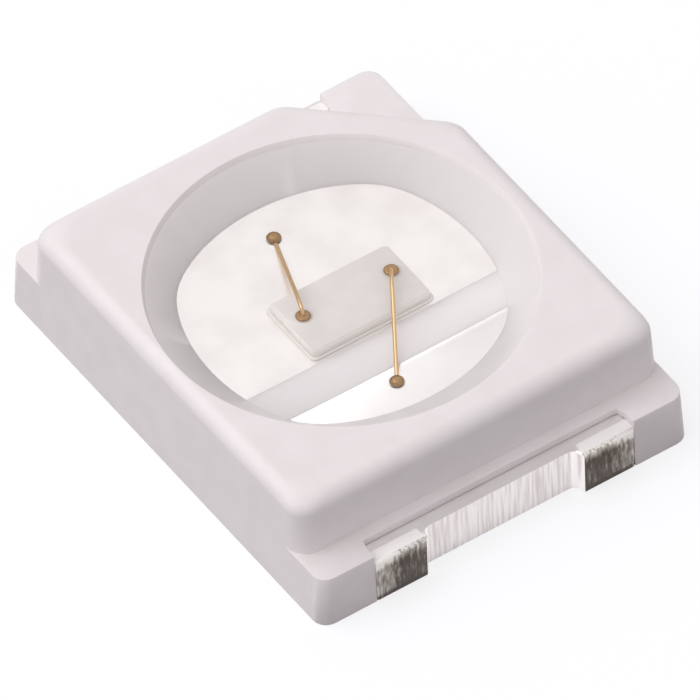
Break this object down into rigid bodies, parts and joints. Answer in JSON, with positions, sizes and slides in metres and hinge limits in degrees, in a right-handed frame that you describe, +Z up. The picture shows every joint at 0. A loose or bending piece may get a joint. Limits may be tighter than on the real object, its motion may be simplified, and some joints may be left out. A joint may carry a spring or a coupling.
{
  "type": "smd led",
  "caption": "Flat white surface-mount LED with a round clear-filled reflector cup, a bar between two silver pads, wire-bonded chip and cut lead tabs.",
  "frame": {"origin": "middle of the underside, on the plane of the solder pads", "axes": "+X along the length towards the anode end, +Y across the width towards the polarity chamfer, +Z up out of the cup"},
  "size_m": [0.0036, 0.0028, 0.0008],
  "materials": {
    "white_resin": "fine satin, as moulded",
    "silver_plating": "bright silver plating on copper alloy",
    "die_adhesive": "cured clear adhesive",
    "sapphire_die": "polished",
    "gold_wire": "drawn gold wire",
    "clear_silicone": "clear and smooth"
  },
  "bodies": {
    "root": {"housing": "white_resin", "cathode_leadframe": "silver_plating", "anode_leadframe": "silver_plating", "die_attach": "die_adhesive", "led_chip": "sapphire_die", "cathode_bond_wire": "gold_wire", "anode_bond_wire": "gold_wire", "cathode_stitch_bump": "gold_wire", "anode_stitch_bump": "gold_wire", "encapsulant": "clear_silicone"}
  },
  "joints": []
}
